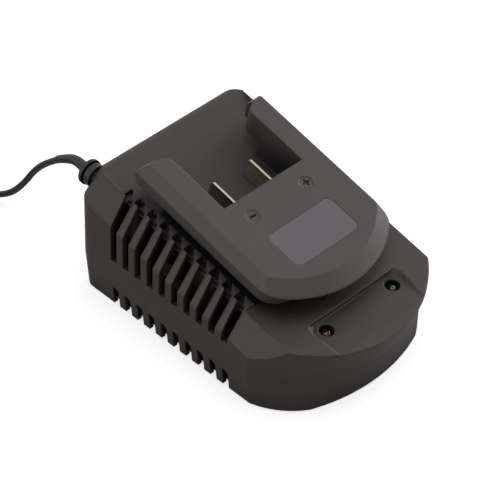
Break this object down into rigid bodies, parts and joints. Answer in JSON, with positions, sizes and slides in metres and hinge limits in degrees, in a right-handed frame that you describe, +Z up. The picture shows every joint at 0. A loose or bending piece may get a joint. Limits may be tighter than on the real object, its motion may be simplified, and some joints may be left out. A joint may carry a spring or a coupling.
{
  "type": "power tool battery charger",
  "caption": "Desktop charger for a slide-on power tool battery: sloping vented housing, T-shaped rail with contact blades in its bay, two status lights and a mains cord.",
  "frame": {"origin": "middle of the footprint of the housing, on the table", "axes": "+Z up; -Y is the low rounded end with the lights, +Y the high end with the cord; +X to the right seen from the low end"},
  "size_m": [0.1613, 0.2619, 0.074],
  "materials": {
    "housing_plastic": "fine matte",
    "pan_plastic": "fine matte",
    "label": "smooth matte",
    "terminal_plastic": "matte",
    "nickel": "plated, bright",
    "rubber": "matte",
    "rating": "smooth",
    "steel": "zinc plated",
    "board": "solder mask",
    "red_led": "clear tinted",
    "green_led": "clear tinted",
    "ferrite": "matte",
    "bobbin": "satin",
    "copper": "enamelled",
    "can": "sleeved",
    "aluminium": "milled",
    "epoxy": "matte",
    "film": "satin",
    "glass": "clear",
    "brass": "tinned",
    "ceramic": "matte",
    "cord": "satin",
    "wire_insulation": "satin"
  },
  "bodies": {
    "root": {"upper_housing": "housing_plastic", "battery_rail": "housing_plastic", "base_pan": "pan_plastic", "label_plate": "label", "terminal_block": "terminal_plastic", "negative_blade": "nickel", "positive_blade": "nickel", "rubber_feet": "rubber", "blank_rating_plate": "rating", "housing_screws": "steel", "board_screws": "steel", "rail_screws": "steel", "light_board_screws": "steel", "light_board": "board", "circuit_board": "board", "red_light": "red_led", "green_light": "green_led", "transformer_core": "ferrite", "transformer_bobbin": "bobbin", "transformer_winding": "copper", "input_capacitor": "can", "output_capacitors": "can", "heat_sink": "aluminium", "switching_transistor": "epoxy", "output_diode": "epoxy", "input_choke": "copper", "film_capacitor": "film", "bridge_rectifier": "epoxy", "control_chip": "epoxy", "shunt_resistor": "ceramic", "fuse": "glass", "fuse_clips": "brass", "battery_wires": "wire_insulation", "mains_wires": "wire_insulation", "cord_gland": "cord", "strain_relief": "cord", "cord": "cord", "cord_coil": "cord", "cord_tail": "cord", "plug_body": "cord", "plug_pins": "nickel"}
  },
  "joints": []
}
